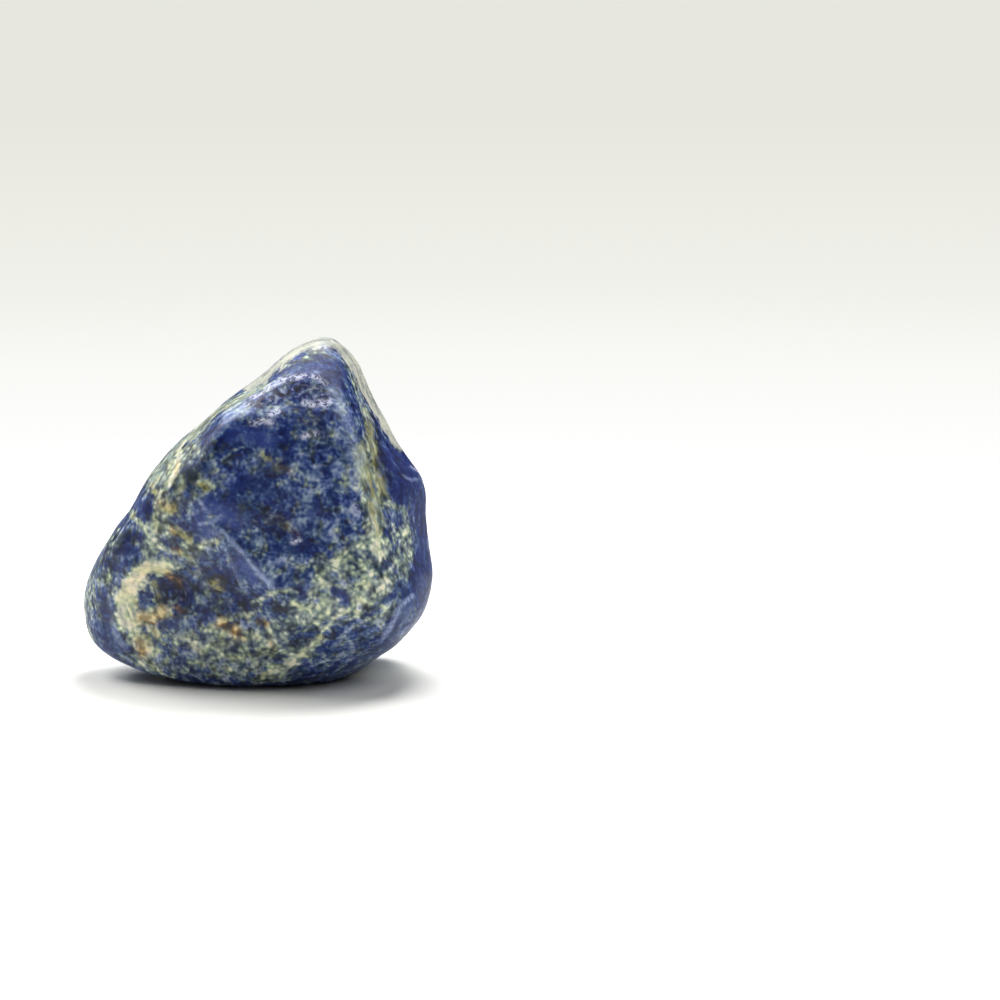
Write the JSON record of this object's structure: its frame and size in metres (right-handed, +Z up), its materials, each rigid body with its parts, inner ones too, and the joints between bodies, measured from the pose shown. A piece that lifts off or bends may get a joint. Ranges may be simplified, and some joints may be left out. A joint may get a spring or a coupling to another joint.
{
  "type": "tumbled sodalite stone",
  "caption": "Chunky tumbled blue stone with worn fracture faces, a leaning peak, a rough ledge and shallow hollows, standing on a small flat rest face.",
  "frame": {"origin": "on the flat face that the stone rests on, at the middle of the stone's bounding box seen from above", "axes": "+Z up, +X to the right as the stone is seen from its main blue face, -Y out of that face, towards the viewer"},
  "size_m": [0.0508, 0.0352, 0.049],
  "materials": {
    "sodalite": "tumble-polished deep blue with cream, grey and rust-coloured veins and specks, rough in its hollows"
  },
  "bodies": {
    "root": {"stone": "sodalite"}
  },
  "joints": []
}
